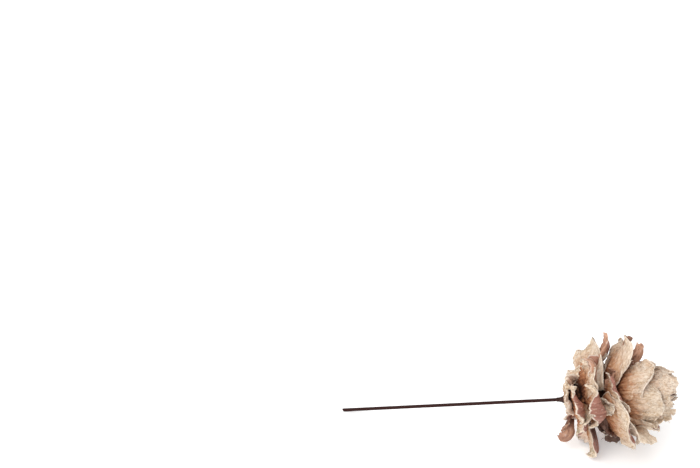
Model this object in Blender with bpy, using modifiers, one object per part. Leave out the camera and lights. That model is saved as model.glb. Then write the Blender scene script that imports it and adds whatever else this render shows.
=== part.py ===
"""A bleached rose-shaped cone on a wire pick, lying on its side.

The cone is one grown piece: a spindle-shaped core with overlapping scales in a spiral.
A straight stub wire is set in a hole in the core's base, with a small flared collar of glue
round it where it enters. The cone's own axis is +X, from its base to its bud, and the whole
pick is then leaned so that it lies on two scale tips and on the free end of the wire.
"""

import math
import random
from dataclasses import dataclass

import bmesh
import bpy
from mathutils import Matrix, Vector

# The pick as it lies: roll of the cone about its axis, rise of the wire towards the cone.
ROLL_DEG = -2.7
RISE_DEG = 12.2

# The spiral of scales, from the base of the cone at share 0 to its bud at share 1.
SEED = 11
SPIRAL_STEPS = 47
SCALE_COUNT = 44
BASE_COUNT = 5
GOLDEN_ANGLE_DEG = 137.508
ROOT_START = 0.0010
ROOT_SPREAD = 0.0270
ROOT_SINK = 0.0020

# Values that change along the spiral, as (share, value) stops.
LENGTH_STOPS = (
    (0.0, 0.0105),
    (0.10, 0.0150),
    (0.22, 0.0190),
    (0.50, 0.0200),
    (0.75, 0.0180),
    (1.0, 0.0115),
)
HALF_WIDTH_STOPS = ((0.0, 0.0052), (0.2, 0.0066), (0.7, 0.0074), (1.0, 0.0060))
ROOT_ANGLE_STOPS = ((0.0, 90.0), (0.12, 84.0), (0.3, 78.0), (0.55, 70.0), (0.8, 52.0), (1.0, 20.0))
BLADE_ANGLE_STOPS = (
    (0.0, 92.0),
    (0.12, 80.0),
    (0.25, 62.0),
    (0.4, 46.0),
    (0.55, 24.0),
    (0.75, -10.0),
    (1.0, -44.0),
)
CURL_STOPS = ((0.0, 25.0), (0.15, 50.0), (0.4, 45.0), (0.55, 18.0), (0.7, -12.0), (1.0, -10.0))

# How far one scale may differ from the rule.
AZIMUTH_JITTER_DEG = 9.0
ANGLE_JITTER_DEG = 10.0
CURL_JITTER_DEG = (-22.0, 45.0)
TWIST_JITTER_DEG = 24.0
LENGTH_JITTER = 0.09
WIDTH_JITTER = 0.12
ROOT_JITTER = 0.0006
CUP_RANGE = (-0.0012, 0.0022)
WAVE_RANGE = (0.0004, 0.0018)
WAVE_COUNTS = (0.7, 2.1)

# How much calmer the bud is than the base.
ANGLE_CALM = 0.7
TWIST_CALM = 0.8
CUP_CALM = 0.8
WAVE_CALM = 0.65

# The blade of a scale: a fan with a narrow claw, a rounded end and a waved edge.
SCALE_THICKNESS = 0.0014
CLAW_SHARE = 0.36
FAN_END = 0.55
END_ROUNDING = 0.34
END_POWER = 2.4
CURL_START = 0.70
CURL_POWER = 1.5
BLADE_COLUMNS = 4
BLADE_ROWS = 4
ROW_POWER = 0.8
MIDLINE_STEPS = 40
HEART_RADIUS = 0.0016

# The core inside the scales, with its radius at shares of its length.
CORE_LENGTH = 0.0370
CORE_STOPS = ((0.0, 0.0052), (0.30, 0.0058), (0.78, 0.0040), (1.0, 0.0014))
CORE_SIDES = 12

# The wire, its hole in the core and the glue collar round it.
WIRE_RADIUS = 0.0006
WIRE_LENGTH = 0.0960
WIRE_DEPTH = 0.0140
WIRE_BEVEL_RESOLUTION = 3
WIRE_CUT_DEG = 27.0
HOLE_SIDES = 12
CLEARANCE = 0.0003
COLLAR_LENGTH = 0.0030
COLLAR_SMALL_RADIUS = 0.0012
COLLAR_LARGE_RADIUS = 0.0023
COLLAR_FLARE_SHARE = 0.25
COLLAR_NECK_SHARE = 0.6
COLLAR_SIDES = 16

# The plain finishes.
SCALE_COLOUR = (0.58, 0.45, 0.33)
SCALE_ROUGHNESS = 0.9
LACQUER_COLOUR = (0.07, 0.03, 0.03)
LACQUER_ROUGHNESS = 0.5
LACQUER_METALLIC = 0.3
GLUE_COLOUR = (0.10, 0.05, 0.045)
GLUE_ROUGHNESS = 0.5

FLOOR_BLOCK = 0.3
MERGE = 0.00001
SHARP_DEG = 40.0


@dataclass(frozen=True)
class Change:
    """How one scale differs from the rule, in degrees or as a factor."""

    turn: float = 0.0
    longer: float = 1.0
    wider: float = 1.0
    opened: float = 0.0
    curled: float = 0.0
    twisted: float = 0.0
    skewed: float = 0.0


# The scales that can be told apart in the photograph, counted from the base.
HAND_SET = {
    0: Change(turn=8.0, longer=0.7, wider=0.45, opened=-12.0),
    1: Change(turn=8.0, longer=1.1, wider=0.3, opened=24.0, curled=75.0),
    3: Change(turn=6.0, wider=1.15, opened=-28.0, curled=64.0, twisted=4.0),
    4: Change(longer=1.0),
    5: Change(turn=4.0, longer=1.2, wider=2.0, opened=-22.0, twisted=44.0),
    6: Change(longer=0.85, opened=-8.0, twisted=-20.0),
    8: Change(turn=8.0, opened=-10.0, wider=1.2, curled=-20.0, twisted=30.0),
    9: Change(turn=-4.0, longer=1.04, wider=1.1, opened=7.0, twisted=-25.0),
    11: Change(turn=-2.0, opened=-20.0, curled=92.0, wider=1.15, twisted=10.0),
    13: Change(turn=4.0, longer=1.1, wider=0.34, twisted=-30.0, opened=2.0),
    14: Change(longer=0.74, opened=-8.0, turn=4.0),
    16: Change(turn=-34.0, longer=0.8, wider=0.6, opened=28.0, curled=70.0, twisted=-10.0),
    17: Change(longer=0.85),
    18: Change(turn=-6.0, longer=0.72, opened=-6.0),
    19: Change(turn=12.0, wider=1.65, longer=1.06, opened=1.0, twisted=-10.0),
    21: Change(turn=-30.0, longer=1.08, wider=1.2, opened=14.0, twisted=30.0, skewed=0.14),
    22: Change(longer=0.92, wider=0.8),
    24: Change(turn=-4.0, longer=0.9, opened=12.0, wider=1.1, curled=70.0, twisted=15.0),
    26: Change(turn=-2.0, wider=0.3, longer=0.94, opened=10.0, twisted=-40.0),
    27: Change(turn=12.0, longer=1.0, wider=1.2, opened=12.0),
    29: Change(turn=4.0, longer=1.02, wider=1.3, opened=10.0, skewed=-0.18),
    30: Change(opened=-8.0),
    31: Change(opened=22.0, longer=0.8),
    32: Change(turn=-1.0, longer=1.04, wider=2.1, opened=8.0),
    34: Change(turn=10.0, longer=1.05, wider=1.3, opened=9.0),
    35: Change(longer=1.0, wider=1.3, opened=8.0),
    37: Change(turn=-14.0, longer=1.14, wider=1.4, opened=20.0),
    39: Change(longer=0.88),
    40: Change(turn=-2.0, longer=1.2, opened=30.0, wider=1.7),
    43: Change(longer=0.8),
    44: Change(longer=0.7, opened=-26.0),
    45: Change(longer=0.7, opened=-26.0),
    46: Change(longer=1.2, opened=-42.0),
    47: Change(longer=0.7, opened=-26.0),
    48: Change(longer=0.7, opened=-26.0),
}


@dataclass
class Scale:
    """One scale of the spiral, with its angles in radians."""

    azimuth: float
    root_x: float
    root_radius: float
    length: float
    half_width: float
    root_angle: float
    blade_angle: float
    curl: float
    twist: float
    cup: float
    wave: float
    wave_count: float
    phase: float
    skew: float = 0.0


def along(stops, share):
    """The value at a share, straight between the stops on either side."""
    for (low, first), (high, second) in zip(stops, stops[1:]):
        if share <= high:
            return first + (second - first) * (share - low) / (high - low)
    return stops[-1][1]


def smooth(value):
    """An eased step from 0 to 1."""
    held = min(max(value, 0.0), 1.0)
    return held * held * (3.0 - 2.0 * held)


def core_radius(x):
    """The core's radius at a distance from its base."""
    return along(CORE_STOPS, x / CORE_LENGTH)


def ruled_scale(index, draw):
    """The scale that the rule gives at a place in the spiral."""
    share = index / SPIRAL_STEPS

    def either_way(most):
        return draw.uniform(-most, most)

    opened = math.radians(either_way(ANGLE_JITTER_DEG)) * (1.0 - ANGLE_CALM * share)
    root_x = max(ROOT_START, ROOT_START + ROOT_SPREAD * share) + draw.uniform(0.0, ROOT_JITTER)
    curled = draw.uniform(*CURL_JITTER_DEG) * (1.0 - share)
    return Scale(
        azimuth=math.radians(index * GOLDEN_ANGLE_DEG + either_way(AZIMUTH_JITTER_DEG)),
        root_x=root_x,
        root_radius=core_radius(root_x) - ROOT_SINK,
        length=along(LENGTH_STOPS, share) * (1.0 + either_way(LENGTH_JITTER)),
        half_width=along(HALF_WIDTH_STOPS, share) * (1.0 + either_way(WIDTH_JITTER)),
        root_angle=math.radians(along(ROOT_ANGLE_STOPS, share)) + opened,
        blade_angle=math.radians(along(BLADE_ANGLE_STOPS, share)) + opened,
        curl=math.radians(along(CURL_STOPS, share) + curled),
        twist=math.radians(either_way(TWIST_JITTER_DEG)) * (1.0 - TWIST_CALM * share),
        cup=draw.uniform(*CUP_RANGE) * (1.0 - CUP_CALM * share),
        wave=draw.uniform(*WAVE_RANGE) * (1.0 - WAVE_CALM * share),
        wave_count=draw.uniform(*WAVE_COUNTS),
        phase=draw.uniform(0.0, 2.0 * math.pi),
    )


def hand_set(scale, change):
    """Makes a scale's own change to what the rule gave it."""
    scale.azimuth += math.radians(change.turn)
    scale.length *= change.longer
    scale.half_width *= change.wider
    scale.root_angle += math.radians(change.opened) / 2.0
    scale.blade_angle += math.radians(change.opened)
    scale.curl += math.radians(change.curled)
    scale.twist += math.radians(change.twisted)
    scale.skew += change.skewed


def spiral():
    """Every scale of the cone: the spiral from base to bud, then the short scales round the wire."""
    draw = random.Random(SEED)
    places = list(range(SCALE_COUNT)) + list(range(-BASE_COUNT, 0))
    scales = [ruled_scale(index, draw) for index in places]
    for index, change in HAND_SET.items():
        hand_set(scales[index], change)
    return scales


def midline(scale):
    """Stations along a scale's middle: axial place, radius and slope from the axis."""
    step = scale.length / MIDLINE_STEPS
    x, radius = scale.root_x, scale.root_radius
    stations = []
    for index in range(MIDLINE_STEPS + 1):
        share = index / MIDLINE_STEPS
        past_bend = max(0.0, (share - CURL_START) / (1.0 - CURL_START))
        opening = (scale.blade_angle - scale.root_angle) * smooth(share / FAN_END)
        angle = scale.root_angle + opening + scale.curl * past_bend**CURL_POWER
        stations.append((x, radius, angle))
        x += step * math.cos(angle)
        radius = max(radius + step * math.sin(angle), HEART_RADIUS)
    return stations


def scale_point(scale, stations, across, up):
    """A point of the blade's middle surface: across runs from -1 to 1, up from root 0 to edge 1."""
    reach = up * (1.0 - END_ROUNDING * abs(across) ** END_POWER) * (1.0 + scale.skew * across * up**3)
    x, radius, angle = stations[min(round(reach * MIDLINE_STEPS), MIDLINE_STEPS)]
    side = across * scale.half_width * (CLAW_SHARE + (1.0 - CLAW_SHARE) * smooth(up / FAN_END))
    lift = up * (side * math.tan(scale.twist) + scale.cup * across * across)
    lift += up * up * scale.wave * math.sin(scale.wave_count * math.pi * across + scale.phase)
    x += lift * math.sin(angle)
    radius -= lift * math.cos(angle)
    wrap = side / max(radius, scale.half_width)
    return Matrix.Rotation(scale.azimuth + wrap, 3, "X") @ Vector((x, 0.0, radius))


def new_object(name, shape):
    """An object from a bmesh, which is freed."""
    mesh = bpy.data.meshes.new(name)
    shape.to_mesh(mesh)
    shape.free()
    return bpy.data.objects.new(name, mesh)


def blade(scale, name):
    """The closed blade of one scale: a shaped grid, cut alike on both faces, with a thickness."""
    stations = midline(scale)
    shape = bmesh.new()
    bmesh.ops.create_grid(shape, x_segments=BLADE_COLUMNS, y_segments=BLADE_ROWS, size=1.0)
    bmesh.ops.triangulate(shape, faces=shape.faces)
    for vertex in shape.verts:
        across, up = vertex.co.x, ((vertex.co.y + 1.0) / 2.0) ** ROW_POWER
        vertex.co = scale_point(scale, stations, across, up)
    made = new_object(name, shape)
    thick = made.modifiers.new("Thickness", "SOLIDIFY")
    thick.thickness = SCALE_THICKNESS
    thick.offset = 0.0
    return made


def turned(name, profile, sides):
    """A solid turned about +X from (distance, radius) points, whose outer side runs towards -X."""
    shape = bmesh.new()
    points = [shape.verts.new((x, 0.0, radius)) for x, radius in profile]
    for pair in zip(points, points[1:]):
        shape.edges.new(pair)
    made = new_object(name, shape)
    screw = made.modifiers.new("Turn", "SCREW")
    screw.axis = "X"
    screw.steps = sides
    screw.render_steps = sides
    screw.use_merge_vertices = True
    screw.merge_threshold = MERGE
    return made


def core():
    """The spindle that carries the scales."""
    profile = [(1.0, 0.0), *reversed(CORE_STOPS), (0.0, 0.0)]
    return turned("cone", [(share * CORE_LENGTH, radius) for share, radius in profile], CORE_SIDES)


def apply_modifiers(made):
    """Bakes an object's modifiers into its mesh."""
    graph = bpy.context.evaluated_depsgraph_get()
    mesh = bpy.data.meshes.new_from_object(made.evaluated_get(graph))
    made.modifiers.clear()
    made.data = mesh


def remove(made):
    """Takes an object out of the file."""
    bpy.data.objects.remove(made, do_unlink=True)


def join_scales(body, blades):
    """Fuses the blades to the core with one Boolean union on their collection."""
    for piece in (body, *blades.objects):
        apply_modifiers(piece)
    union = body.modifiers.new("Scales", "BOOLEAN")
    union.operation = "UNION"
    union.operand_type = "COLLECTION"
    union.collection = blades
    union.solver = "MANIFOLD"
    apply_modifiers(body)
    for piece in list(blades.objects):
        remove(piece)


def cut(body, cutter, helpers):
    """Cuts one object from another and removes the cutter."""
    helpers.objects.link(cutter)
    bpy.context.view_layer.update()
    difference = body.modifiers.new("Cut", "BOOLEAN")
    difference.operation = "DIFFERENCE"
    difference.object = cutter
    difference.solver = "MANIFOLD"
    apply_modifiers(body)
    remove(cutter)


def keep_outer_skin(body):
    """Fills the pockets that fusing seals, and drops loose scraps, by keeping the largest shell."""
    shape = bmesh.new()
    shape.from_mesh(body.data)
    unseen = set(shape.faces)
    shells = []
    while unseen:
        shell = {unseen.pop()}
        border = list(shell)
        while border:
            edges = [edge for edge in border.pop().edges if len(edge.link_faces) == 2]
            linked = {face for edge in edges for face in edge.link_faces} & unseen
            unseen -= linked
            shell |= linked
            border += linked
        shells.append(shell)
    largest = max(shells, key=len)
    loose = [face for shell in shells if shell is not largest for face in shell]
    bmesh.ops.delete(shape, geom=loose, context="FACES")
    shape.to_mesh(body.data)
    shape.free()


def cone(pick, helpers):
    """The core with all its scales fused to it, and the hole that takes the wire."""
    body = core()
    pick.objects.link(body)
    for index, scale in enumerate(spiral()):
        helpers.objects.link(blade(scale, f"blade_{index:02d}"))
    bpy.context.view_layer.update()
    join_scales(body, helpers)
    keep_outer_skin(body)
    cut(body, wire_hole(), helpers)
    keep_outer_skin(body)
    return body


def wire(pick):
    """The straight stub wire, from its depth in the core to its slanted free end."""
    path = bpy.data.curves.new("wire_path", "CURVE")
    path.dimensions = "3D"
    path.bevel_depth = WIRE_RADIUS
    path.bevel_resolution = WIRE_BEVEL_RESOLUTION
    path.use_fill_caps = True
    spline = path.splines.new("POLY")
    spline.points.add(1)
    spline.points[0].co = (WIRE_DEPTH, 0.0, 0.0, 1.0)
    spline.points[1].co = (WIRE_DEPTH - WIRE_LENGTH, 0.0, 0.0, 1.0)
    guide = bpy.data.objects.new("wire_path", path)
    pick.objects.link(guide)
    graph = bpy.context.evaluated_depsgraph_get()
    shape = bmesh.new()
    shape.from_mesh(bpy.data.meshes.new_from_object(guide.evaluated_get(graph)))
    remove(guide)
    bmesh.ops.remove_doubles(shape, verts=shape.verts, dist=MERGE)
    for vertex in shape.verts:
        if vertex.co.x < 0.0:
            vertex.co.x -= vertex.co.z * math.tan(math.radians(WIRE_CUT_DEG))
    made = new_object("wire", shape)
    pick.objects.link(made)
    return made


def wire_hole():
    """The cutter of the hole that takes the wire in the core's base."""
    radius = WIRE_RADIUS + CLEARANCE
    deep = WIRE_DEPTH + CLEARANCE
    profile = [(deep, 0.0), (deep, radius), (-CLEARANCE, radius), (-CLEARANCE, 0.0)]
    return turned("wire_hole", profile, HOLE_SIDES)


def glue_collar(pick):
    """The flared collar of glue round the wire, against the core's base."""
    inside = WIRE_RADIUS + CLEARANCE
    near, far = -CLEARANCE, -CLEARANCE - COLLAR_LENGTH
    profile = [
        (near, inside),
        (near, COLLAR_LARGE_RADIUS),
        (near - COLLAR_FLARE_SHARE * COLLAR_LENGTH, (COLLAR_LARGE_RADIUS + COLLAR_SMALL_RADIUS) / 2.0),
        (near - COLLAR_NECK_SHARE * COLLAR_LENGTH, COLLAR_SMALL_RADIUS),
        (far, (COLLAR_SMALL_RADIUS + inside) / 2.0),
        (far, inside),
        (near, inside),
    ]
    made = turned("glue_collar", profile, COLLAR_SIDES)
    pick.objects.link(made)
    return made


def finish(piece, name, colour, roughness, metallic=0.0):
    """Gives a piece its own plain material."""
    made = bpy.data.materials.new(name)
    made.use_nodes = True
    shader = made.node_tree.nodes["Principled BSDF"]
    shader.inputs["Base Color"].default_value = (*colour, 1.0)
    shader.inputs["Roughness"].default_value = roughness
    shader.inputs["Metallic"].default_value = metallic
    piece.data.materials.clear()
    piece.data.materials.append(made)


def world_corners(pieces):
    """The lowest and highest corners of some objects, in the world."""
    points = [piece.matrix_world @ vertex.co for piece in pieces for vertex in piece.data.vertices]
    return [Vector(map(chosen, zip(*points))) for chosen in (min, max)]


def floor_block():
    """The cutter below the surface that the pick lies on, which leaves the small flats that it rests on."""
    shape = bmesh.new()
    bmesh.ops.create_cube(shape, size=FLOOR_BLOCK)
    bmesh.ops.translate(shape, verts=shape.verts, vec=(0.0, 0.0, -FLOOR_BLOCK / 2.0))
    return new_object("floor_block", shape)


def lay_down(holder, body, stub, helpers):
    """Leans the pick on the wire's free end at z = 0, and cuts flats on the tips that reach below."""
    body.rotation_euler.x = math.radians(ROLL_DEG)
    holder.rotation_euler.y = math.radians(-RISE_DEG)
    bpy.context.view_layer.update()
    low, _ = world_corners([stub])
    holder.location.z = -low.z
    bpy.context.view_layer.update()
    cut(body, floor_block(), helpers)
    keep_outer_skin(body)
    low, high = world_corners([body, stub])
    holder.location.x = -(low.x + high.x) / 2.0
    holder.location.y = -(low.y + high.y) / 2.0
    bpy.context.view_layer.update()


def main():
    """Builds the pick and lays it down."""
    for old in list(bpy.data.objects):
        bpy.data.objects.remove(old, do_unlink=True)
    pick = bpy.data.collections.new("cone_pick")
    helpers = bpy.data.collections.new("blades_and_cutters")
    for group in (pick, helpers):
        bpy.context.scene.collection.children.link(group)

    body, stub, collar = cone(pick, helpers), wire(pick), glue_collar(pick)
    finish(body, "bleached_scale", SCALE_COLOUR, SCALE_ROUGHNESS)
    finish(stub, "brown_lacquered_wire", LACQUER_COLOUR, LACQUER_ROUGHNESS, LACQUER_METALLIC)
    finish(collar, "brown_glue", GLUE_COLOUR, GLUE_ROUGHNESS)
    stub.data.shade_smooth()
    stub.data.set_sharp_from_angle(angle=math.radians(SHARP_DEG))
    holder = bpy.data.objects.new("cone_axis", None)
    pick.objects.link(holder)
    for piece in (body, stub, collar):
        piece.parent = holder
    lay_down(holder, body, stub, helpers)


main()
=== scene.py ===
"""The looks of a bleached, rose-shaped cone on a stub wire, lying on its side.

The cone's scales follow the same spiral as the solid cone, with torn edges, rolled lips and
fibres. Sizes are in metres and angles in degrees, unless a name says otherwise.
"""

from __future__ import annotations

import logging
import math
import random
from dataclasses import dataclass, field
from enum import Enum
from typing import Any

import bmesh
import bpy
from mathutils import Matrix, Vector, noise

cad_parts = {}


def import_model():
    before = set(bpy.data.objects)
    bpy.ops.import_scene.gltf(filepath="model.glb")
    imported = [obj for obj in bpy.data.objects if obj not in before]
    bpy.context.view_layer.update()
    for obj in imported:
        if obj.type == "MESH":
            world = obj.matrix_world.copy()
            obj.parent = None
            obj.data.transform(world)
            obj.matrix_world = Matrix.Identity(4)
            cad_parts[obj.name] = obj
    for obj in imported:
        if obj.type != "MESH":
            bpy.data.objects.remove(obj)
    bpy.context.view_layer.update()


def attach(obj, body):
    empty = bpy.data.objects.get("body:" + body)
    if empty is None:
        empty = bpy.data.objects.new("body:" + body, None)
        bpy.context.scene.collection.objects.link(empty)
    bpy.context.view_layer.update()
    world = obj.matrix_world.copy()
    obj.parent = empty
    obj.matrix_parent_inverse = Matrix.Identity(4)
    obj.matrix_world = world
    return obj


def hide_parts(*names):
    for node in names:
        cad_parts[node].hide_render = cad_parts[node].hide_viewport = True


LOG = logging.getLogger("cone_pick")
BODY = "root"

MM_PER_METRE = 1000.0
MERGE_DISTANCE = 1e-6

Colour = tuple[float, float, float]
Stops = tuple[tuple[float, float], ...]

SCREEN_TOE = 0.04045
SCREEN_TOE_SLOPE = 12.92
SCREEN_OFFSET = 0.055
SCREEN_POWER = 2.4


def light_value(value: int) -> float:
    """The share of light that a screen gives for a colour value from 0 to 255."""
    share = value / 255.0
    if share <= SCREEN_TOE:
        return share / SCREEN_TOE_SLOPE
    return ((share + SCREEN_OFFSET) / (1.0 + SCREEN_OFFSET)) ** SCREEN_POWER


def photo_colour(red: int, green: int, blue: int) -> Colour:
    """A colour as a photograph shows it, turned into light values.

    Args:
        red: The red value from 0 to 255.
        green: The green value from 0 to 255.
        blue: The blue value from 0 to 255.

    Returns:
        The three values as a shader takes them.
    """
    return light_value(red), light_value(green), light_value(blue)


def along(stops: Stops, share: float) -> float:
    """The value at a share, straight between the stops on either side.

    Args:
        stops: Pairs of share and value, in order.
        share: Where to read them.

    Returns:
        The value there.
    """
    for (low, first), (high, second) in zip(stops, stops[1:]):
        if share <= high:
            return first + (second - first) * (share - low) / (high - low)
    return stops[-1][1]


def smooth(value: float) -> float:
    """An eased step from 0 to 1."""
    held = min(max(value, 0.0), 1.0)
    return held * held * (3.0 - 2.0 * held)


def wander(*place: float) -> float:
    """A smooth random value from about -1 to 1 at a place of up to three numbers."""
    return noise.noise(Vector((*place, 0.0, 0.0)[:3]))


def ragged(place: float, row: float) -> float:
    """An angular random value from -1 to 1, straight between whole places.

    Args:
        place: Where to read it.
        row: Which of many such lines to read.

    Returns:
        The value there.
    """
    cell = math.floor(place)
    part = place - cell
    low = noise.cell(Vector((cell + 0.5, row, 0.5)))
    high = noise.cell(Vector((cell + 1.5, row, 0.5)))
    return low + (high - low) * part


class Signal:
    """A shader socket that takes part in Python expressions."""

    def __init__(self, board: "NodeBoard", socket: bpy.types.NodeSocket) -> None:
        """Wraps a socket of a board's node tree."""
        self.board = board
        self.socket = socket

    def _math(self, operation: str, first: Any, second: Any) -> "Signal":
        """Adds one Math node."""
        return self.board.node("ShaderNodeMath", {"operation": operation}, {0: first, 1: second})

    def __add__(self, other: Any) -> "Signal":
        """Self plus other."""
        return self._math("ADD", self, other)

    __radd__ = __add__

    def __sub__(self, other: Any) -> "Signal":
        """Self less other."""
        return self._math("SUBTRACT", self, other)

    def __rsub__(self, other: Any) -> "Signal":
        """Other less self."""
        return self._math("SUBTRACT", other, self)

    def __mul__(self, other: Any) -> "Signal":
        """Self times other."""
        return self._math("MULTIPLY", self, other)

    __rmul__ = __mul__

    def ramp(self, low: float, high: float) -> "Signal":
        """An eased step that is 0 at low and 1 at high.

        Args:
            low: The value that gives 0.
            high: The value that gives 1.

        Returns:
            The eased share, held between 0 and 1.
        """
        settings = {"interpolation_type": "SMOOTHSTEP"}
        inputs = {"Value": self, "From Min": low, "From Max": high}
        return self.board.node("ShaderNodeMapRange", settings, inputs)


class NodeBoard:
    """One material and the nodes in it."""

    def __init__(self, name: str) -> None:
        """Starts a material with a bare shader."""
        self.material = bpy.data.materials.new(name)
        self.material.use_nodes = True
        self.tree = self.material.node_tree
        self.shader = self.tree.nodes["Principled BSDF"]

    def node(self, kind: str, settings: dict[str, Any], inputs: dict[Any, Any], output: Any = 0) -> Signal:
        """Adds any node.

        Args:
            kind: The node's type.
            settings: The node's own settings, which are set first.
            inputs: The value or signal of each socket, by name or number.
            output: The name or number of the output that is wanted.

        Returns:
            That output as a signal.
        """
        made = self.tree.nodes.new(kind)
        for name, value in settings.items():
            setattr(made, name, value)
        for name, value in inputs.items():
            self.feed(made.inputs[name], value)
        return Signal(self, made.outputs[output])

    def feed(self, socket: bpy.types.NodeSocket, value: Any) -> None:
        """Links a signal to a socket, or sets its value."""
        if isinstance(value, Signal):
            self.tree.links.new(value.socket, socket)
        elif isinstance(value, tuple) and len(value) == 3 and socket.type == "RGBA":
            socket.default_value = (*value, 1.0)
        else:
            socket.default_value = value

    def attribute(self, name: str) -> Signal:
        """A number that a piece's mesh holds at each point."""
        return self.node("ShaderNodeAttribute", {"attribute_name": name}, {}, "Fac")

    def place(self) -> Signal:
        """Object coordinates, in metres."""
        return self.node("ShaderNodeTexCoord", {}, {}, "Object")

    def grain_map(self, name: str) -> Signal:
        """A piece's own map, in millimetres along and across its grain."""
        return self.node("ShaderNodeUVMap", {"uv_map": name}, {})

    def stretch(self, vector: Signal, by: Colour) -> Signal:
        """A vector multiplied axis by axis."""
        settings = {"operation": "MULTIPLY"}
        return self.node("ShaderNodeVectorMath", settings, {0: vector, 1: by})

    def cloud(self, vector: Signal, scale: float, detail: float, roughness: float = 0.5) -> Signal:
        """Smooth noise from 0 to 1.

        Args:
            vector: Where to read it.
            scale: How many features there are in a unit.
            detail: How many finer sizes are laid over the first.
            roughness: How strong the finer sizes are.

        Returns:
            The noise.
        """
        inputs = {"Vector": vector, "Scale": scale, "Detail": detail, "Roughness": roughness}
        return self.node("ShaderNodeTexNoise", {}, inputs, "Fac")

    def cells(self, vector: Signal, scale: float) -> Signal:
        """The distance to the nearest of many scattered points."""
        return self.node("ShaderNodeTexVoronoi", {}, {"Vector": vector, "Scale": scale}, "Distance")

    def blend(self, mask: Any, first: Any, second: Any) -> Signal:
        """A colour mixed from first at 0 to second at 1."""
        settings = {"data_type": "RGBA", "clamp_factor": True}
        return self.node("ShaderNodeMix", settings, {0: mask, 6: first, 7: second}, 2)

    def shade(self, colour: Any, by: Signal) -> Signal:
        """A colour made darker or lighter by a factor."""
        grey = self.node("ShaderNodeCombineColor", {}, {0: by, 1: by, 2: by})
        settings = {"data_type": "RGBA", "blend_type": "MULTIPLY", "clamp_factor": True}
        return self.node("ShaderNodeMix", settings, {0: 1.0, 6: colour, 7: grey}, 2)

    def bump(self, height: Signal, strength: float, distance: float) -> Signal:
        """A surface normal from a height."""
        inputs = {"Height": height, "Strength": strength, "Distance": distance}
        return self.node("ShaderNodeBump", {}, inputs)

    def finish(self, **sockets: Any) -> bpy.types.Material:
        """Feeds the shader's own sockets.

        Args:
            sockets: A value or signal by socket name, with _ for each space.

        Returns:
            The material.
        """
        for name, value in sockets.items():
            self.feed(self.shader.inputs[name.replace("_", " ")], value)
        return self.material


@dataclass(frozen=True)
class Mask:
    """An eased step between two values, and how strongly it shows."""

    low: float
    high: float
    strength: float = 1.0

    def over(self, signal: Signal) -> Signal:
        """Shows where the signal is high."""
        return signal.ramp(self.low, self.high) * self.strength

    def under(self, signal: Signal) -> Signal:
        """Shows where the signal is low."""
        return (1.0 - signal.ramp(self.low, self.high)) * self.strength


@dataclass(frozen=True)
class Grain:
    """Noise on a blade's grain map: features in a millimetre across and along, and their make-up."""

    across: float
    along: float
    detail: float
    roughness: float = 0.5

    def on(self, board: NodeBoard, vector: Signal) -> Signal:
        """This noise as a signal."""
        stretched = board.stretch(vector, (self.across, self.along, 1.0))
        return board.cloud(stretched, 1.0, self.detail, self.roughness)


class Side(Enum):
    """Which way a surface of a scale looks."""

    OUTER = 0.0
    INNER = 1.0


class ScalePatterns:
    """The noises and the blade's own numbers that a scale's finish reads."""

    def __init__(self, board: NodeBoard) -> None:
        """Lays every pattern on the grain map once."""
        grain = board.grain_map("grain")
        self.side = board.attribute("side")
        self.rim = board.attribute("rim")
        self.rise = board.attribute("rise")
        self.tone = board.attribute("tone")
        self.browned = board.attribute("browned")
        # Painted shade on scales that lie in the shadow of others.
        self.painted_shade = board.attribute("painted_shade")
        self.pale = board.attribute("pale")
        self.streaks = Grain(1.5, 0.22, 5.0, 0.62).on(board, grain)
        self.fine_streaks = Grain(6.0, 1.5, 3.0, 0.65).on(board, grain)
        self.mottle = Grain(0.28, 0.28, 4.0, 0.6).on(board, grain)
        self.zone = Grain(0.24, 0.24, 2.0).on(board, grain)
        self.felt = Grain(1.7, 0.8, 5.0, 0.75).on(board, grain)
        self.flakes = Grain(1.7, 0.8, 1.0, 0.4).on(board, grain)
        self.speckle = board.cells(board.stretch(grain, (1.8, 0.96, 1.0)), 1.0)
        self.resin_glint_drops = board.cells(grain, 0.9)


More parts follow.
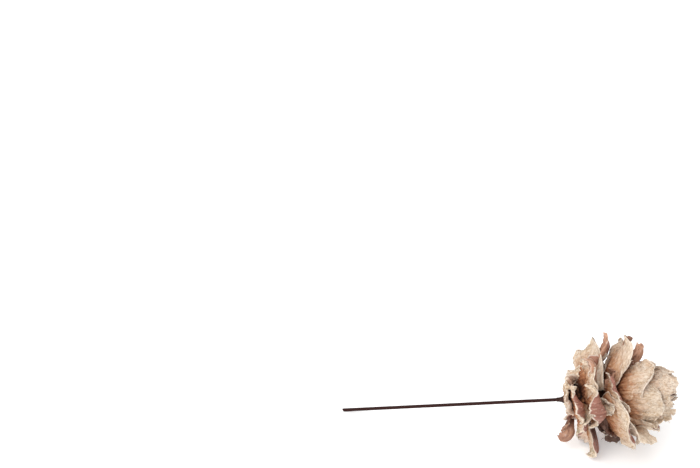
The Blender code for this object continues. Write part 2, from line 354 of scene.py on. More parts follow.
@dataclass(frozen=True)
class BleachedScaleFinish:
    """Bleached scale: rough cream outside, smooth chestnut inside, with pale torn rims."""

    cream: Colour = photo_colour(230, 212, 191)
    straw: Colour = photo_colour(214, 188, 158)
    rose: Colour = photo_colour(214, 184, 168)
    fibre: Colour = photo_colour(168, 130, 98)
    hatch: Colour = photo_colour(104, 72, 50)
    pit: Colour = photo_colour(92, 74, 56)
    moss: Colour = photo_colour(142, 138, 112)
    # Tan, orange and root brown darken each scale towards its root: the scale's own colour mixed with
    # painted shade.
    tan: Colour = photo_colour(194, 138, 92)
    orange: Colour = photo_colour(160, 90, 50)
    root: Colour = photo_colour(66, 32, 19)
    rim: Colour = photo_colour(236, 222, 205)
    mauve: Colour = photo_colour(160, 108, 92)
    sienna: Colour = photo_colour(206, 158, 130)
    chestnut: Colour = photo_colour(140, 92, 76)
    # Deep brown, for painted shade and for dark streaks on the inner face.
    deep: Colour = photo_colour(76, 38, 26)
    # A painted glint, for the resin specks and flakes.
    glint: Colour = photo_colour(226, 204, 192)

    straw_patches: Mask = Mask(0.36, 0.64)
    rosy_scales: Mask = Mask(0.45, 0.95, 0.7)
    bleached_streaks: Mask = Mask(0.30, 0.48, 0.6)
    fibre_streaks: Mask = Mask(0.54, 0.72, 0.4)
    felt_shadows: Mask = Mask(0.52, 0.60, 0.45)
    felt_lights: Mask = Mask(0.42, 0.50, 0.85)
    hatch_lines: Mask = Mask(0.56, 0.64)
    hatch_zone: Mask = Mask(0.40, 0.60)
    hatch_strength: float = 0.6
    pit_dots: Mask = Mask(0.08, 0.18)
    pit_zone: Mask = Mask(0.50, 0.62)
    pit_strength: float = 0.7
    mossy_scales: Mask = Mask(0.12, 0.30)
    moss_patches: Mask = Mask(0.48, 0.66, 0.5)
    # Towards the root: tan, orange and dark brown, partly the scale's own colour and partly painted shade
    # where scales overlap.
    tan_shade_until: Mask = Mask(0.44, 0.92, 0.8)
    orange_shade_until: Mask = Mask(0.32, 0.70, 0.85)
    root_shade_until: Mask = Mask(0.16, 0.50)
    rise_streaking: float = 0.6
    rise_mottling: float = 0.3
    pale_rise: float = 0.14

    sienna_scales: Mask = Mask(0.3, 0.8)
    chestnut_patches: Mask = Mask(0.40, 0.66)
    chestnut_strength: tuple[float, float] = (0.8, 0.4)
    # Painted shade in the felt's hollows and towards the root; the deep streaks are the face's own pattern.
    inner_shadows: Mask = Mask(0.54, 0.66, 0.5)
    deep_streaks: Mask = Mask(0.46, 0.74, 0.7)
    inner_root_shade_until: Mask = Mask(0.30, 0.72)
    # Resin specks painted as glints, and painted glints on the flakes.
    resin_glint_dots: Mask = Mask(0.10, 0.20)
    resin_glint_zone: Mask = Mask(0.50, 0.60, 0.7)
    inner_painted_glints: Mask = Mask(0.34, 0.44, 0.5)

    inside_from: Mask = Mask(0.80, 1.0)
    inner_face: Mask = Mask(0.15, 0.4)
    inside_patches: float = 2.2
    inside_by_rim: float = 0.7
    full_range: Mask = Mask(0.0, 1.0)
    rim_width: Mask = Mask(0.08, 0.42)
    rim_unevenness: float = 0.8
    rim_strength: tuple[float, float, float] = (0.3, 0.4, 0.35)
    rimless_scales: Mask = Mask(0.4, 0.9)
    # How strongly painted shade darkens a shadowed scale, steady and mottled.
    painted_shade_strength: tuple[float, float] = (0.6, 0.4)
    rough_outside: float = 0.88
    rough_inside: float = 0.42
    bump_depth: float = 0.0005

    def outer_colour(self, board: NodeBoard, look: ScalePatterns) -> Signal:
        """The rough outer face, from cream at the end to dark brown at the root, where the root's own brown
        is mixed with painted shade.

        Args:
            board: The material's board.
            look: The patterns on the blade.

        Returns:
            The colour.
        """
        colour = board.blend(self.straw_patches.over(look.mottle), self.cream, self.straw)
        colour = board.blend(self.rosy_scales.over(look.tone), colour, self.rose)
        colour = board.blend(self.bleached_streaks.under(look.streaks), colour, self.rim)
        colour = board.blend(self.fibre_streaks.over(look.streaks), colour, self.fibre)
        colour = board.blend(self.felt_shadows.over(look.felt), colour, self.fibre)
        colour = board.blend(self.felt_lights.under(look.felt), colour, self.rim)
        colour = board.blend(self.hatching(look) * self.hatch_strength, colour, self.hatch)
        colour = board.blend(self.pits(look) * self.pit_strength, colour, self.pit)
        mossy = self.mossy_scales.under(look.tone) * self.moss_patches.over(look.mottle)
        colour = board.blend(mossy, colour, self.moss)
        rise = look.rise + (look.streaks - 0.5) * self.rise_streaking
        rise = rise + (look.mottle - 0.5) * self.rise_mottling + look.pale * self.pale_rise
        # Painted shade mixed with the root's own brown, darker towards each scale's root.
        colour = board.blend(self.tan_shade_until.under(rise), colour, self.tan)
        colour = board.blend(self.orange_shade_until.under(rise), colour, self.orange)
        return board.blend(self.root_shade_until.under(rise), colour, self.root)

    def hatching(self, look: ScalePatterns) -> Signal:
        """Short dark strokes in some patches."""
        return self.hatch_lines.over(look.fine_streaks) * self.hatch_zone.over(look.zone)

    def pits(self, look: ScalePatterns) -> Signal:
        """Small dark pits in some patches."""
        return self.pit_dots.under(look.speckle) * self.pit_zone.over(look.zone)

    def inner_colour(self, board: NodeBoard, look: ScalePatterns) -> Signal:
        """The smooth inner face, mauve or brown, with painted shade towards the root and in hollows, and
        dried resin specks and flakes painted with glints.

        Args:
            board: The material's board.
            look: The patterns on the blade.

        Returns:
            The colour.
        """
        most, less = self.chestnut_strength
        colour = board.blend(self.sienna_scales.over(look.browned), self.mauve, self.sienna)
        patches = self.chestnut_patches.over(look.mottle) * (most - less * look.browned)
        colour = board.blend(patches, colour, self.chestnut)
        # Painted shade in the felt's hollows and towards the root; the deep streaks are the face's own
        # pattern.
        colour = board.blend(self.inner_shadows.over(look.felt), colour, self.deep)
        colour = board.blend(self.deep_streaks.over(look.streaks), colour, self.deep)
        colour = board.blend(self.inner_root_shade_until.under(look.rise), colour, self.deep)
        # Dried resin specks painted with the glint colour, then painted glints on the flakes.
        resin = self.resin_glint_dots.under(look.resin_glint_drops) * self.resin_glint_zone.over(look.zone)
        colour = board.blend(resin, colour, self.glint)
        return board.blend(self.inner_painted_glints.under(look.felt), colour, self.glint)

    def within(self, look: ScalePatterns) -> Signal:
        """Where the smooth inner look shows: inside most scales, and all over a browned one."""
        uneven = look.side + (look.zone - 0.5) * self.inside_patches + look.rim * self.inside_by_rim
        inside = self.inside_from.over(uneven) * self.inner_face.over(look.side)
        bleached = self.full_range.over(0.0 - look.browned)
        browned = self.full_range.over(look.browned)
        return self.full_range.over(inside * (1.0 - bleached) + browned)

    def material(self) -> bpy.types.Material:
        """Builds the material."""
        board = NodeBoard("bleached_scale")
        look = ScalePatterns(board)
        within = self.within(look)
        colour = board.blend(within, self.outer_colour(board, look), self.inner_colour(board, look))

        edge = self.rim_width.under(look.rim + (look.mottle - 0.5) * self.rim_unevenness)
        least, by_zone, by_within = self.rim_strength
        strength = least + by_zone * look.zone + by_within * within
        spared = self.rimless_scales.under(look.browned)
        colour = board.blend(edge * spared * strength, colour, self.rim)
        # Painted shade: a scale that lies in the shadow of others is mixed towards the dark root brown.
        steady, mottled = self.painted_shade_strength
        colour = board.blend(look.painted_shade * (steady + mottled * look.mottle), colour, self.root)

        rough_outer = self.rough_outside + (look.mottle - 0.5) * 0.1
        rough_inner = self.rough_inside + (look.streaks - 0.5) * 0.3
        relief = look.streaks * 0.8 + look.flakes * 1.1 + look.fine_streaks * 0.4
        relief = relief - self.pits(look) * 0.9 - self.hatching(look) * 0.3
        relief_inside = look.fine_streaks * 0.4 + look.mottle * 0.4 + look.flakes * 0.5
        return board.finish(
            Base_Color=colour,
            Roughness=rough_outer + within * (rough_inner - rough_outer),
            Normal=board.bump(relief + within * (relief_inside - relief), 1.0, self.bump_depth),
            Specular_IOR_Level=0.35,
        )


@dataclass(frozen=True)
class CoreFinish:
    """The dark, pithy wood inside the scales."""

    dark: Colour = photo_colour(52, 28, 17)
    light: Colour = photo_colour(120, 76, 46)
    pith: Mask = Mask(0.48, 0.72)

    def material(self) -> bpy.types.Material:
        """Builds the material."""
        board = NodeBoard("cone_core")
        cloud = board.cloud(board.place(), 900.0, 4.0, 0.6)
        colour = board.blend(self.pith.over(cloud), self.dark, self.light)
        return board.finish(Base_Color=colour, Roughness=0.95, Normal=board.bump(cloud, 0.6, 0.0004))


@dataclass(frozen=True)
class WireFinish:
    """Dark brown lacquer on a stub wire, a little uneven and worn."""

    lacquer: Colour = photo_colour(46, 18, 14)
    worn: Colour = photo_colour(78, 50, 44)
    worn_runs: Mask = Mask(0.58, 0.72, 0.5)
    worn_specks: Mask = Mask(0.64, 0.74, 0.4)

    def material(self) -> bpy.types.Material:
        """Builds the material."""
        board = NodeBoard("lacquered_wire")
        place = board.place()
        runs = board.cloud(board.stretch(place, (120.0, 900.0, 900.0)), 1.0, 4.0, 0.6)
        specks = board.cloud(place, 2600.0, 2.0)
        wear = self.worn_runs.over(runs) + self.worn_specks.over(specks)
        colour = board.blend(wear, self.lacquer, self.worn)
        height = runs * 0.7 + specks * 0.3
        return board.finish(
            Base_Color=colour,
            Roughness=0.45 + wear * 0.3,
            Specular_IOR_Level=0.12,
            Normal=board.bump(height, 0.5, 0.00012),
        )


@dataclass(frozen=True)
class CutSteelFinish:
    """Bare steel at the wire's slanted cut."""

    steel: Colour = photo_colour(150, 146, 142)
    dull: Colour = photo_colour(92, 84, 80)
    scratched: Mask = Mask(0.4, 0.65)

    def material(self) -> bpy.types.Material:
        """Builds the material."""
        board = NodeBoard("cut_steel")
        place = board.place()
        scratches = board.cloud(board.stretch(place, (900.0, 9000.0, 900.0)), 1.0, 2.0)
        colour = board.blend(self.scratched.over(scratches), self.steel, self.dull)
        return board.finish(
            Base_Color=colour,
            Metallic=0.9,
            Roughness=0.34 + scratches * 0.2,
            Normal=board.bump(scratches, 0.3, 0.00004),
        )


@dataclass(frozen=True)
class GlueFinish:
    """Brown glue round the wire, dull with softer shine on its high spots."""

    brown: Colour = photo_colour(44, 24, 20)
    pale: Colour = photo_colour(84, 58, 48)
    pale_patches: Mask = Mask(0.45, 0.7)

    def material(self) -> bpy.types.Material:
        """Builds the material."""
        board = NodeBoard("brown_glue")
        cloud = board.cloud(board.place(), 1400.0, 3.0, 0.55)
        colour = board.blend(self.pale_patches.over(cloud), self.brown, self.pale)
        return board.finish(
            Base_Color=colour,
            Roughness=0.5 + cloud * 0.25,
            Specular_IOR_Level=0.15,
            Normal=board.bump(cloud, 0.5, 0.0002),
        )


@dataclass(frozen=True)
class FibreFinish:
    """Loose fibres: dark frizz from the roots and pale threads from torn edges."""

    dark: Colour = photo_colour(74, 48, 36)
    pale: Colour = photo_colour(226, 210, 192)
    pale_threads: Mask = Mask(0.35, 0.75)

    def material(self) -> bpy.types.Material:
        """Builds the material."""
        board = NodeBoard("loose_fibre")
        tone = board.attribute("tone")
        cloud = board.cloud(board.place(), 1200.0, 2.0)
        colour = board.blend(self.pale_threads.over(tone), self.dark, self.pale)
        colour = board.shade(colour, 0.8 + cloud * 0.4)
        return board.finish(Base_Color=colour, Roughness=0.9)


@dataclass(frozen=True)
class Change:
    """How one scale differs from the rule, in degrees or as a factor."""

    turn: float = 0.0
    longer: float = 1.0
    wider: float = 1.0
    opened: float = 0.0
    curled: float = 0.0
    twisted: float = 0.0
    skewed: float = 0.0


@dataclass
class Scale:
    """One scale of the spiral, with its angles in radians."""

    azimuth: float
    root_x: float
    root_radius: float
    length: float
    half_width: float
    root_angle: float
    blade_angle: float
    curl: float
    twist: float
    cup: float
    wave: float
    wave_count: float
    phase: float
    skew: float = 0.0

    def take(self, change: Change) -> None:
        """Makes this scale's own change to what the rule gave it."""
        self.azimuth += math.radians(change.turn)
        self.length *= change.longer
        self.half_width *= change.wider
        self.root_angle += math.radians(change.opened) / 2.0
        self.blade_angle += math.radians(change.opened)
        self.curl += math.radians(change.curled)
        self.twist += math.radians(change.twisted)
        self.skew += change.skewed


@dataclass(frozen=True)
class SpiralRule:
    """The rule of the cone's growth, which the solid cone follows too."""

    seed: int = 11
    steps: int = 47
    scale_count: int = 44
    base_count: int = 5
    golden_angle: float = 137.508
    root_start: float = 0.0010
    root_spread: float = 0.0270
    root_sink: float = 0.0020
    length: Stops = (
        (0.0, 0.0105),
        (0.10, 0.0150),
        (0.22, 0.0190),
        (0.50, 0.0200),
        (0.75, 0.0180),
        (1.0, 0.0115),
    )
    half_width: Stops = ((0.0, 0.0052), (0.2, 0.0066), (0.7, 0.0074), (1.0, 0.0060))
    root_angle: Stops = (
        (0.0, 90.0),
        (0.12, 84.0),
        (0.3, 78.0),
        (0.55, 70.0),
        (0.8, 52.0),
        (1.0, 20.0),
    )
    blade_angle: Stops = (
        (0.0, 92.0),
        (0.12, 80.0),
        (0.25, 62.0),
        (0.4, 46.0),
        (0.55, 24.0),
        (0.75, -10.0),
        (1.0, -44.0),
    )
    curl: Stops = ((0.0, 25.0), (0.15, 50.0), (0.4, 45.0), (0.55, 18.0), (0.7, -12.0), (1.0, -10.0))
    azimuth_jitter: float = 9.0
    angle_jitter: float = 10.0
    curl_jitter: tuple[float, float] = (-22.0, 45.0)
    twist_jitter: float = 24.0
    length_jitter: float = 0.09
    width_jitter: float = 0.12
    root_jitter: float = 0.0006
    cup: tuple[float, float] = (-0.0012, 0.0022)
    wave: tuple[float, float] = (0.0004, 0.0018)
    wave_counts: tuple[float, float] = (0.7, 2.1)
    angle_calm: float = 0.7
    twist_calm: float = 0.8
    cup_calm: float = 0.8
    wave_calm: float = 0.65
    core_length: float = 0.0370
    core_radius: Stops = ((0.0, 0.0052), (0.30, 0.0058), (0.78, 0.0040), (1.0, 0.0014))

    def ruled_scale(self, index: int, draw: random.Random) -> Scale:
        """The scale that the rule gives at a place in the spiral.

        Args:
            index: The place, counted from the base.
            draw: The seeded draws, which are taken in a fixed order.

        Returns:
            The scale.
        """
        share = index / self.steps

        def either_way(most: float) -> float:
            """A draw from least to most, on either side of 0."""
            return draw.uniform(-most, most)

        opened = math.radians(either_way(self.angle_jitter)) * (1.0 - self.angle_calm * share)
        root_x = max(self.root_start, self.root_start + self.root_spread * share)
        root_x += draw.uniform(0.0, self.root_jitter)
        curled = draw.uniform(*self.curl_jitter) * (1.0 - share)
        return Scale(
            azimuth=math.radians(index * self.golden_angle + either_way(self.azimuth_jitter)),
            root_x=root_x,
            root_radius=along(self.core_radius, root_x / self.core_length) - self.root_sink,
            length=along(self.length, share) * (1.0 + either_way(self.length_jitter)),
            half_width=along(self.half_width, share) * (1.0 + either_way(self.width_jitter)),
            root_angle=math.radians(along(self.root_angle, share)) + opened,
            blade_angle=math.radians(along(self.blade_angle, share)) + opened,
            curl=math.radians(along(self.curl, share) + curled),
            twist=math.radians(either_way(self.twist_jitter)) * (1.0 - self.twist_calm * share),
            cup=draw.uniform(*self.cup) * (1.0 - self.cup_calm * share),
            wave=draw.uniform(*self.wave) * (1.0 - self.wave_calm * share),
            wave_count=draw.uniform(*self.wave_counts),
            phase=draw.uniform(0.0, 2.0 * math.pi),
        )

    def scales(self, changes: dict[int, Change]) -> list[Scale]:
        """Every scale: the spiral from base to bud, then the short scales round the wire.

        Args:
            changes: What sets single scales apart, by their place in the list.

        Returns:
            The scales.
        """
        draw = random.Random(self.seed)
        places = list(range(self.scale_count)) + list(range(-self.base_count, 0))
        made = [self.ruled_scale(index, draw) for index in places]
        for index, change in changes.items():
            made[index].take(change)
        return made


HAND_SET = {
    0: Change(turn=8.0, longer=0.7, wider=0.45, opened=-12.0),
    1: Change(turn=8.0, longer=1.1, wider=0.3, opened=24.0, curled=75.0),
    3: Change(turn=6.0, wider=1.15, opened=-28.0, curled=64.0, twisted=4.0),
    5: Change(turn=4.0, longer=1.2, wider=2.0, opened=-22.0, twisted=44.0),
    6: Change(longer=0.85, opened=-8.0, twisted=-20.0),
    8: Change(turn=8.0, opened=-10.0, wider=1.2, curled=-20.0, twisted=30.0),
    9: Change(turn=-4.0, longer=1.04, wider=1.1, opened=7.0, twisted=-25.0),
    11: Change(turn=-2.0, opened=-20.0, curled=92.0, wider=1.15, twisted=10.0),
    13: Change(turn=4.0, longer=1.1, wider=0.34, twisted=-30.0, opened=2.0),
    14: Change(longer=0.74, opened=-8.0, turn=4.0),
    16: Change(turn=-34.0, longer=0.8, wider=0.6, opened=28.0, curled=70.0, twisted=-10.0),
    17: Change(longer=0.85),
    18: Change(turn=-6.0, longer=0.72, opened=-6.0),
    19: Change(turn=12.0, wider=1.65, longer=1.06, opened=1.0, twisted=-10.0),
    21: Change(turn=-30.0, longer=1.08, wider=1.2, opened=14.0, twisted=30.0, skewed=0.14),
    22: Change(longer=0.92, wider=0.8),
    24: Change(turn=-4.0, longer=0.9, opened=12.0, wider=1.1, curled=70.0, twisted=15.0),
    26: Change(turn=-2.0, wider=0.3, longer=0.94, opened=10.0, twisted=-40.0),
    27: Change(turn=12.0, wider=1.2, opened=12.0),
    29: Change(turn=4.0, longer=1.02, wider=1.3, opened=10.0, skewed=-0.18),
    30: Change(opened=-8.0),
    31: Change(opened=22.0, longer=0.8),
    32: Change(turn=-1.0, longer=1.04, wider=2.1, opened=8.0),
    34: Change(turn=10.0, longer=1.05, wider=1.3, opened=9.0),
    35: Change(wider=1.3, opened=8.0),
    37: Change(turn=-14.0, longer=1.14, wider=1.4, opened=20.0),
    39: Change(longer=0.88),
    40: Change(turn=-2.0, longer=1.2, opened=30.0, wider=1.7),
    43: Change(longer=0.8),
    44: Change(longer=0.7, opened=-26.0),
    45: Change(longer=0.7, opened=-26.0),
    46: Change(longer=1.2, opened=-42.0),
    47: Change(longer=0.7, opened=-26.0),
    48: Change(longer=0.7, opened=-26.0),
}


@dataclass(frozen=True)
class Wear:
    """What sets one scale's fine form and colour apart, and how much painted shade darkens it.

    Browned runs from -1, pale on both faces, to 1, brown on both.
    """

    browned: float = 0.0
    torn: float = 1.0
    crumpled: float = 1.0
    painted_shade: float = 0.0
    frizz: int = 0


# The darkening in these entries is painted shade on scales that lie in shadow.
WORN = {
    0: Wear(browned=-0.5),
    1: Wear(browned=0.9, torn=0.4, crumpled=0.7, painted_shade=0.35),
    11: Wear(torn=0.4),
    12: Wear(frizz=20),
    13: Wear(browned=0.9, torn=0.3, crumpled=0.4),
    14: Wear(browned=0.8, painted_shade=1.1, frizz=80),
    15: Wear(painted_shade=0.4, frizz=16),
    16: Wear(browned=0.5, torn=0.3),
    17: Wear(browned=-0.5, painted_shade=1.1, frizz=80),
    18: Wear(browned=-0.6, painted_shade=0.3, frizz=12),
    20: Wear(painted_shade=0.4, frizz=10),
    22: Wear(browned=-0.9),
    26: Wear(browned=0.9, torn=0.4, crumpled=0.5),
    27: Wear(browned=-0.8, torn=0.5),
    30: Wear(browned=-0.9),
    31: Wear(browned=-0.7),
    44: Wear(browned=-0.7),
    46: Wear(browned=-0.7),
    47: Wear(browned=-0.9),
}


@dataclass(frozen=True)
class PickPose:
    """How the pick lies: where the wire enters the cone, the wire's rise and the cone's roll."""

    entry: tuple[float, float, float] = (0.020917, 0.000086, 0.017825)
    rise: float = 12.2
    roll: float = -2.7

    def wire_matrix(self) -> Matrix:
        """From the wire's own frame, with +X into the cone, to the world."""
        turn = Matrix.Rotation(math.radians(-self.rise), 4, "Y")
        return Matrix.Translation(self.entry) @ turn

    def cone_matrix(self) -> Matrix:
        """From the cone's own frame, with +X from base to bud, to the world."""
        return self.wire_matrix() @ Matrix.Rotation(math.radians(self.roll), 4, "X")


@dataclass(frozen=True)
class Jag:
    """One size of jag on a torn edge: how often it comes, how deep it is and its random row."""

    often: float
    deep: float
    row: float

    def at(self, place: float, seed: float) -> float:
        """Its depth at a place along the edge."""
        return self.deep * ragged(place * self.often, seed + self.row)


@dataclass(frozen=True)
class Crinkle:
    """A soft wave along an edge, with sharper folds on it, and the random row of each."""

    soft_often: float
    soft_row: float
    sharp_often: float
    sharp_row: float
    soft: float = 1.2
    sharp: float = 0.35

    def at(self, place: float, beside: float, seed: float) -> float:
        """Its height at a place along the edge."""
        softly = self.soft * wander(place * self.soft_often, seed + self.soft_row, beside)
        return softly + self.sharp * ragged(place * self.sharp_often, seed + self.sharp_row)


@dataclass(frozen=True)
class Bumps:
    """Bumps over a blade: how often they come across and up it, their random row and their height."""

    across: float
    up: float
    row: float
    height: float
    dent_from: float = 0.28
    dent_softness: float = 0.14

    def folded(self, across: float, up: float, seed: float) -> float:
        """The height of angular folds at a point."""
        return self.height * ragged(across * self.across + up * self.up, seed + self.row)

    def rounded(self, across: float, up: float, seed: float) -> float:
        """The height of round lumps at a point."""
        return self.height * wander(across * self.across, up * self.up, seed + self.row)

    def dented(self, across: float, up: float, seed: float) -> float:
        """The depth of scattered dents at a point."""
        level = wander(across * self.across, up * self.up, seed + self.row)
        return self.height * smooth((level - self.dent_from) / self.dent_softness)


@dataclass
class ScaleForm:
    """The fine form of one scale: the ruled blade with a torn edge, creases and a rolled lip."""

    scale: Scale
    seed: float
    wear: Wear
    claw_share: float = 0.36
    fan_end: float = 0.55
    end_rounding: float = 0.34
    end_power: float = 2.4
    curl_start: float = 0.70
    curl_power: float = 1.5
    heart_radius: float = 0.0016
    stations: int = 60
    end_sweep: Jag = Jag(1.6, 0.045, 0.0)
    end_jags: tuple[Jag, ...] = (Jag(4.3, 0.030, 1.3), Jag(11.0, 0.014, 2.3), Jag(25.0, 0.008, 4.3))
    side_jags: tuple[Jag, ...] = (Jag(4.0, 0.06, 0.0), Jag(10.0, 0.035, 1.0), Jag(26.0, 0.018, 2.0))
    side_rows: tuple[float, float] = (7.0, 11.0)
    notch: float = 0.09
    notch_often: float = 3.7
    notch_row: float = 5.3
    notch_from: float = 0.20
    notch_softness: float = 0.10
    folds: Bumps = Bumps(2.3, 0.5, 3.0, 0.00105)
    buckles: Bumps = Bumps(0.9, 3.4, 5.0, 0.00075)
    buckle_growth: float = 1.5
    edge_crinkle: float = 0.0014
    side_crinkle: Crinkle = Crinkle(4.6, 9.0, 9.0, 13.0)
    end_crinkle: Crinkle = Crinkle(3.1, 17.0, 7.0, 19.0)
    end_crinkle_power: int = 6
    lip: float = 0.0011
    lip_least: float = 0.4
    lip_often: float = 2.0
    lip_row: float = 23.0
    lip_power: int = 12
    root_thickness: float = 0.0014
    edge_thickness: float = 0.00042
    thickness_jitter: float = 0.2
    thinning: float = 0.34
    end_thinning: float = 1.6
    thinning_slope: float = 0.6
    thinning_start: float = 0.1
    ridges: Bumps = Bumps(13.0, 2.2, 31.0, 0.00036)
    rubble: Bumps = Bumps(15.0, 17.0, 37.0, 0.00044)
    pits: Bumps = Bumps(8.0, 9.0, 41.0, 0.00046)
    line: list[tuple[float, float, float]] = field(default_factory=list)

    def __post_init__(self) -> None:
        """Walks the blade's midline once."""
        step = self.scale.length / self.stations
        x, radius = self.scale.root_x, self.scale.root_radius
        for index in range(self.stations + 1):
            share = index / self.stations
            past_bend = max(0.0, (share - self.curl_start) / (1.0 - self.curl_start))
            opening = (self.scale.blade_angle - self.scale.root_angle) * smooth(share / self.fan_end)
            angle = self.scale.root_angle + opening + self.scale.curl * past_bend**self.curl_power
            self.line.append((x, radius, angle))
            x += step * math.cos(angle)
            radius = max(radius + step * math.sin(angle), self.heart_radius)

    def station(self, reach: float) -> tuple[float, float, float]:
        """The midline's place at a share of its length.

        Args:
            reach: The share.

        Returns:
            The distance along the cone's axis, the distance from the axis, and the slope.
        """
        spot = min(max(reach, 0.0), 1.0) * self.stations
        index = min(int(spot), self.stations - 1)
        part = reach * self.stations - index
        low, high = self.line[index], self.line[index + 1]
        return tuple(a + (b - a) * part for a, b in zip(low, high))

    def tear(self, across: float) -> float:
        """How much of the length is torn off, or left over, at a place across the end.

        Args:
            across: The place across the blade, from -1 to 1.

        Returns:
            The share of the length that is added there.
        """
        sweep = self.end_sweep
        uneven = sweep.deep * ragged(across * sweep.often + self.seed, self.seed)
        uneven += sum(jag.at(across, self.seed) for jag in self.end_jags)
        level = wander(across * self.notch_often, self.seed, self.notch_row)
        notched = self.notch * smooth((level - self.notch_from) / self.notch_softness)
        return self.wear.torn * (uneven - notched) + self.scale.skew * across

    def fray(self, across: float, up: float) -> float:
        """How much wider or narrower the blade is at a height.

        Args:
            across: The place across the blade, whose sign says which side is read.
            up: The place up the blade.

        Returns:
            The share of the width that is added there.
        """
        right, left = self.side_rows
        row = self.seed + (right if across > 0.0 else left)
        return self.wear.torn * sum(jag.at(up, row) for jag in self.side_jags)

    def crumple(self, across: float, up: float) -> float:
        """The folds, buckles, crinkled edges and rolled lip of the dried blade.

        Args:
            across: The place across the blade.
            up: The place up the blade.

        Returns:
            How far the blade stands off its plain form.
        """
        margin = abs(across) ** 3
        height = up * self.folds.folded(across, up, self.seed)
        height += smooth(up * self.buckle_growth) * self.buckles.folded(across, up, self.seed)
        height += up * margin * self.edge_crinkle * self.side_crinkle.at(up, across, self.seed)
        end_wave = self.end_crinkle.at(across, 0.5, self.seed)
        height += up**self.end_crinkle_power * self.edge_crinkle * end_wave
        roll = self.lip_least + wander(across * self.lip_often, self.seed + self.lip_row, 0.2)
        return self.wear.crumpled * (height - up**self.lip_power * self.lip * roll)

    def point(self, across: float, up: float) -> Vector:
        """A point of the blade's middle surface, in the cone's frame.

        Args:
            across: The place across the blade, from -1 to 1.
            up: The place up the blade, from its root at 0 to its end at 1.

        Returns:
            The point.
        """
        scale = self.scale
        margin = abs(across) ** 3
        reach = up * (1.0 - self.end_rounding * abs(across) ** self.end_power)
        reach *= 1.0 + self.tear(across) * up**3
        x, radius, angle = self.station(reach)
        width = scale.half_width * (self.claw_share + (1.0 - self.claw_share) * smooth(up / self.fan_end))
        side = across * width * (1.0 + margin * self.fray(across, up))
        lift = up * (side * math.tan(scale.twist) + scale.cup * across * across)
        lift += up * up * scale.wave * math.sin(scale.wave_count * math.pi * across + scale.phase)
        lift += self.crumple(across, up)
        x += lift * math.sin(angle)
        radius -= lift * math.cos(angle)
        wrap = side / max(radius, scale.half_width)
        return Matrix.Rotation(scale.azimuth + wrap, 3, "X") @ Vector((x, 0.0, radius))

    def thickness(self, across: float, up: float) -> float:
        """The blade's thickness, which thins towards its free edges.

        Args:
            across: The place across the blade.
            up: The place up the blade.

        Returns:
            The thickness.
        """
        inward = min(1.0 - abs(across), (1.0 - up) * self.end_thinning) / self.thinning
        whole = self.root_thickness * (1.0 + self.thickness_jitter * wander(self.seed))
        share = smooth(inward * self.thinning_slope + self.thinning_start)
        return self.edge_thickness + (whole - self.edge_thickness) * share

    def relief(self, across: float, up: float) -> float:
        """The height of the fibres that stand out on the outer face.

        Args:
            across: The place across the blade.
            up: The place up the blade.

        Returns:
            The height.
        """
        raised = self.ridges.rounded(across, up, self.seed) + self.rubble.rounded(across, up, self.seed)
        return raised - self.pits.dented(across, up, self.seed)

    def rim_distance(self, across: float, up: float) -> float:
        """The distance to the blade's nearest free edge.

        Args:
            across: The place across the blade.
            up: The place up the blade.

        Returns:
            The distance, in millimetres.
        """
        sideways = (1.0 - abs(across)) * self.scale.half_width
        endways = (1.0 - up) * self.scale.length
        return MM_PER_METRE * min(sideways, endways)


@dataclass(frozen=True)
class BrokenBit:
    """A short broken scale that stands between the whole ones."""

    azimuth: float
    root_x: float
    length: float
    half_width: float
    root_angle: float
    blade_angle: float
    curl: float
    twist: float
    wear: Wear
    cup: float = 0.0008
    wave: float = 0.0006
    wave_count: float = 1.3

    def form(self, rule: SpiralRule, seed: float) -> ScaleForm:
        """The fine form of this bit, rooted on the core as a whole scale is.

        Args:
            rule: The cone's rule of growth, which gives the core's radius.
            seed: What sets its random values apart.

        Returns:
            The form.
        """
        scale = Scale(
            azimuth=math.radians(self.azimuth),
            root_x=self.root_x,
            root_radius=along(rule.core_radius, self.root_x / rule.core_length) - rule.root_sink,
            length=self.length,
            half_width=self.half_width,
            root_angle=math.radians(self.root_angle),
            blade_angle=math.radians(self.blade_angle),
            curl=math.radians(self.curl),
            twist=math.radians(self.twist),
            cup=self.cup,
            wave=self.wave,
            wave_count=self.wave_count,
            phase=seed,
        )
        return ScaleForm(scale, seed, self.wear)


SPOON_TIP = BrokenBit(
    azimuth=17.0,
    root_x=0.0110,
    length=0.0190,
    half_width=0.0024,
    root_angle=84.0,
    blade_angle=84.0,
    curl=66.0,
    twist=10.0,
    wear=Wear(browned=0.7, torn=0.4, crumpled=0.6),
)
PALE_LOBE = BrokenBit(
    azimuth=72.0,
    root_x=0.0105,
    length=0.0150,
    half_width=0.0034,
    root_angle=84.0,
    blade_angle=36.0,
    curl=-10.0,
    twist=20.0,
    wear=Wear(browned=-0.6),
)
# Its darkening is painted shade in the gap behind the scales.
UPPER_STUB = BrokenBit(
    azimuth=-14.0,
    root_x=0.0180,
    length=0.0130,
    half_width=0.0024,
    root_angle=60.0,
    blade_angle=50.0,
    curl=30.0,
    twist=20.0,
    wear=Wear(browned=0.9, painted_shade=0.5, torn=0.6),
)
# Its darkening is painted shade in the gap behind the scales.
MIDDLE_STUB = BrokenBit(
    azimuth=14.0,
    root_x=0.0150,
    length=0.0115,
    half_width=0.0032,
    root_angle=80.0,
    blade_angle=62.0,
    curl=20.0,
    twist=-20.0,
    wear=Wear(browned=0.9, painted_shade=0.4, torn=0.7),
)
# Its darkening is painted shade in the gap behind the scales.
THIN_STRIP = BrokenBit(
    azimuth=-24.0,
    root_x=0.0166,
    length=0.0196,
    half_width=0.0008,
    root_angle=74.0,
    blade_angle=64.0,
    curl=0.0,
    twist=30.0,
    wear=Wear(browned=0.9, painted_shade=0.45, torn=0.4),
)
BROKEN_BITS = (SPOON_TIP, PALE_LOBE, UPPER_STUB, MIDDLE_STUB, THIN_STRIP)


